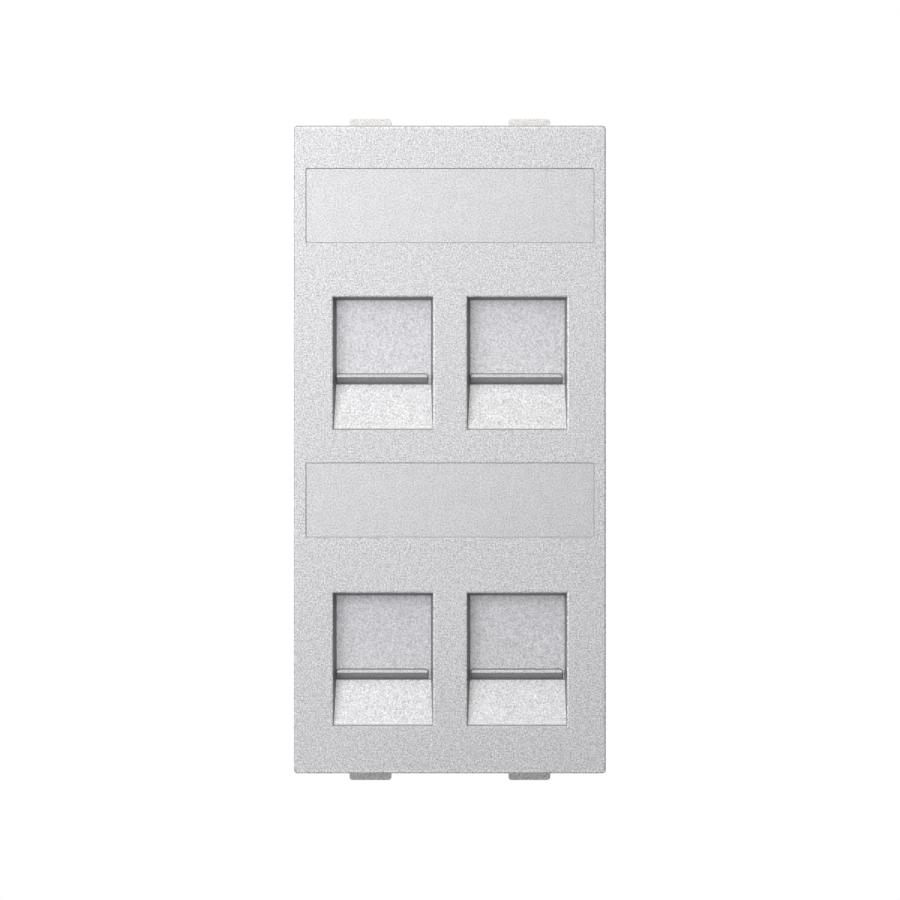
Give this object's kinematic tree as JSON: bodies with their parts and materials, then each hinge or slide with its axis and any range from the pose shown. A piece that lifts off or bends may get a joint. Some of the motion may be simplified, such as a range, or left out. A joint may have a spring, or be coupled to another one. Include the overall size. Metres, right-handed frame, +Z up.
{
  "type": "keystone faceplate",
  "caption": "Silver modular faceplate for keystone jacks, with sprung sliding dust shutters in ramped windows, clear label covers, clip-in rear jack carriers and snap arms.",
  "frame": {"origin": "centre of the plane of the skirt's rear rim, where the plate seats in its device frame", "axes": "+X to the right seen from the front, +Y from the front face towards the back, +Z up"},
  "size_m": [0.052, 0.015, 0.1106],
  "materials": {
    "silver_paint": "moulded plastic painted in fine-grained aluminium silver",
    "silver_satin": "moulded plastic painted in smoother satin silver",
    "clear_plastic": "clear plastic with a fine matte face",
    "carrier_plastic": "dark grey moulded plastic",
    "spring_steel": "bright spring wire"
  },
  "bodies": {
    "plate": {"faceplate": "silver_paint", "label_cover_upper": "clear_plastic", "label_cover_lower": "clear_plastic", "shutter_spring_upper_left": "spring_steel", "jack_carrier_upper_left": "carrier_plastic", "shutter_spring_upper_right": "spring_steel", "jack_carrier_upper_right": "carrier_plastic", "shutter_spring_lower_left": "spring_steel", "jack_carrier_lower_left": "carrier_plastic", "shutter_spring_lower_right": "spring_steel", "jack_carrier_lower_right": "carrier_plastic"},
    "upper_left_shutter": {"shutter_upper_left": "silver_satin"},
    "upper_right_shutter": {"shutter_upper_right": "silver_satin"},
    "lower_left_shutter": {"shutter_lower_left": "silver_satin"},
    "lower_right_shutter": {"shutter_lower_right": "silver_satin"}
  },
  "joints": [
    {"name": "upper_left_shutter_slide", "type": "slide", "parent": "plate", "child": "upper_left_shutter", "axis": [0, 0, 1], "range_m": [0, 0.0122], "stiffness_N_per_m": 37, "springref_m": -0.008, "deforming": ["shutter_spring_upper_left"]},
    {"name": "upper_right_shutter_slide", "type": "slide", "parent": "plate", "child": "upper_right_shutter", "axis": [0, 0, 1], "range_m": [0, 0.0122], "stiffness_N_per_m": 37, "springref_m": -0.008, "deforming": ["shutter_spring_upper_right"]},
    {"name": "lower_left_shutter_slide", "type": "slide", "parent": "plate", "child": "lower_left_shutter", "axis": [0, 0, 1], "range_m": [0, 0.0122], "stiffness_N_per_m": 37, "springref_m": -0.008, "deforming": ["shutter_spring_lower_left"]},
    {"name": "lower_right_shutter_slide", "type": "slide", "parent": "plate", "child": "lower_right_shutter", "axis": [0, 0, 1], "range_m": [0, 0.0122], "stiffness_N_per_m": 37, "springref_m": -0.008, "deforming": ["shutter_spring_lower_right"]}
  ]
}
